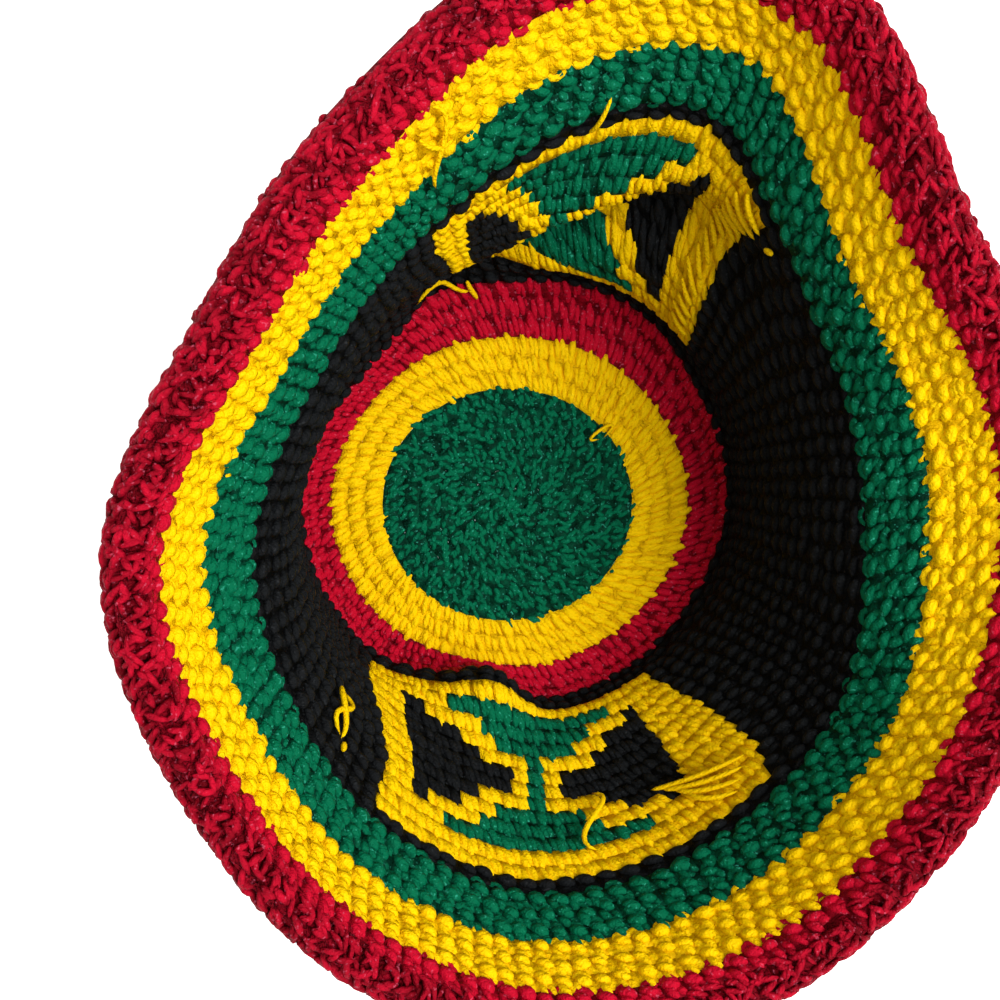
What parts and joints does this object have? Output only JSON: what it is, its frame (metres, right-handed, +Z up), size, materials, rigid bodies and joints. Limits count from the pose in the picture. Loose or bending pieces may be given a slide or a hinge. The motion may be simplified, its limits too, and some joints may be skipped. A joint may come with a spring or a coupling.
{
  "type": "crochet bucket hat",
  "caption": "Crochet bucket hat lying on its crown, opening up: coloured crown rings, a dark wall with two worked-in flags and a flared banded brim.",
  "frame": {"origin": "middle of the crown's outer face, on the surface that the hat lies on, opening up", "axes": "+Z up out of the opening; +Y along the opening's long way, towards its narrow end; +X across it"},
  "size_m": [0.2281, 0.2741, 0.1404],
  "materials": {
    "green_yarn": "matt, slightly lustrous acrylic yarn in single crochet",
    "yellow_yarn": "matt acrylic yarn in single crochet",
    "red_yarn": "matt acrylic yarn in single crochet",
    "black_yarn": "matt acrylic yarn in single crochet"
  },
  "bodies": {
    "root": {"crown_centre": "green_yarn", "crown_ring_yellow": "yellow_yarn", "crown_ring_red": "red_yarn", "side_wall": "black_yarn", "flag_front_saltire": "yellow_yarn", "flag_front_green_crown_side": "green_yarn", "flag_front_green_brim_side": "green_yarn", "flag_front_black_left": "black_yarn", "flag_front_black_right": "black_yarn", "flag_back_saltire": "yellow_yarn", "flag_back_green_crown_side": "green_yarn", "flag_back_green_brim_side": "green_yarn", "flag_back_black_left": "black_yarn", "flag_back_black_right": "black_yarn", "brim_green": "green_yarn", "brim_yellow": "yellow_yarn", "brim_red": "red_yarn"}
  },
  "joints": []
}
